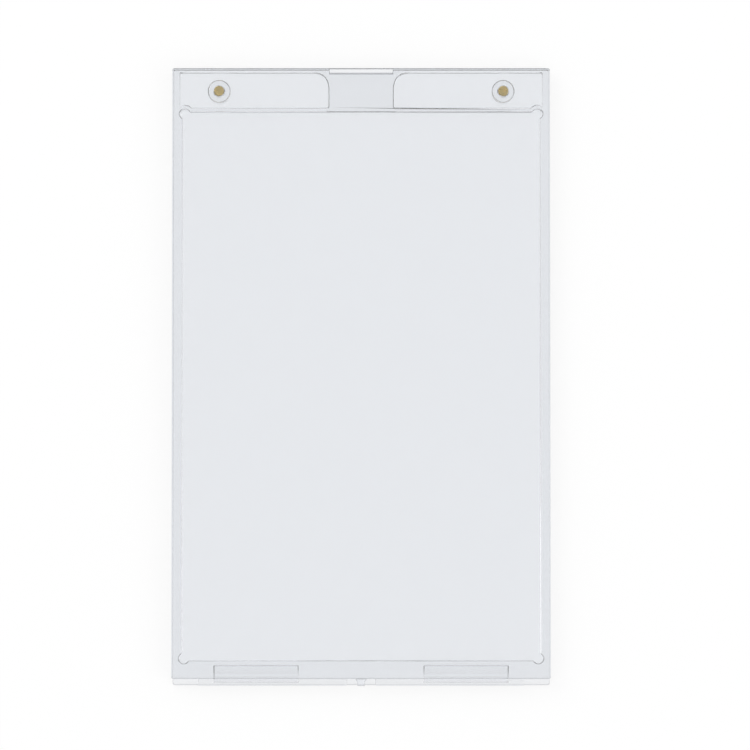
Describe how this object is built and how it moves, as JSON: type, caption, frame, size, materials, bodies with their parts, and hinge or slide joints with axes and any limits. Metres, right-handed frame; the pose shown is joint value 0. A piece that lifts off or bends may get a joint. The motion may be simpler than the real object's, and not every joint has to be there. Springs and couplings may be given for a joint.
{
  "type": "comic book display case",
  "caption": "Clear hinged two-shell case that holds one comic book, with a deep back tray and a front cover that magnets in the top corners keep shut.",
  "frame": {"origin": "middle of the bounding box on the back face that the case lies on", "axes": "+X to the right of the case seen from the front, +Y towards the magnets, +Z out of the front cover"},
  "size_m": [0.1826, 0.2984, 0.012],
  "materials": {
    "clear_tray": "polished",
    "clear_cover": "polished",
    "gold_plate": "satin"
  },
  "bodies": {
    "tray": {"back_tray": "clear_tray", "tray_magnet_left": "gold_plate", "tray_magnet_right": "gold_plate"},
    "cover": {"front_cover": "clear_cover", "cover_magnet_left": "gold_plate", "cover_magnet_right": "gold_plate"}
  },
  "joints": [
    {"name": "cover_hinge", "type": "hinge", "parent": "tray", "child": "cover", "pos_m": [0, -0.146, 0.0049], "axis": [1, 0, 0], "range_deg": [0, 35]}
  ]
}
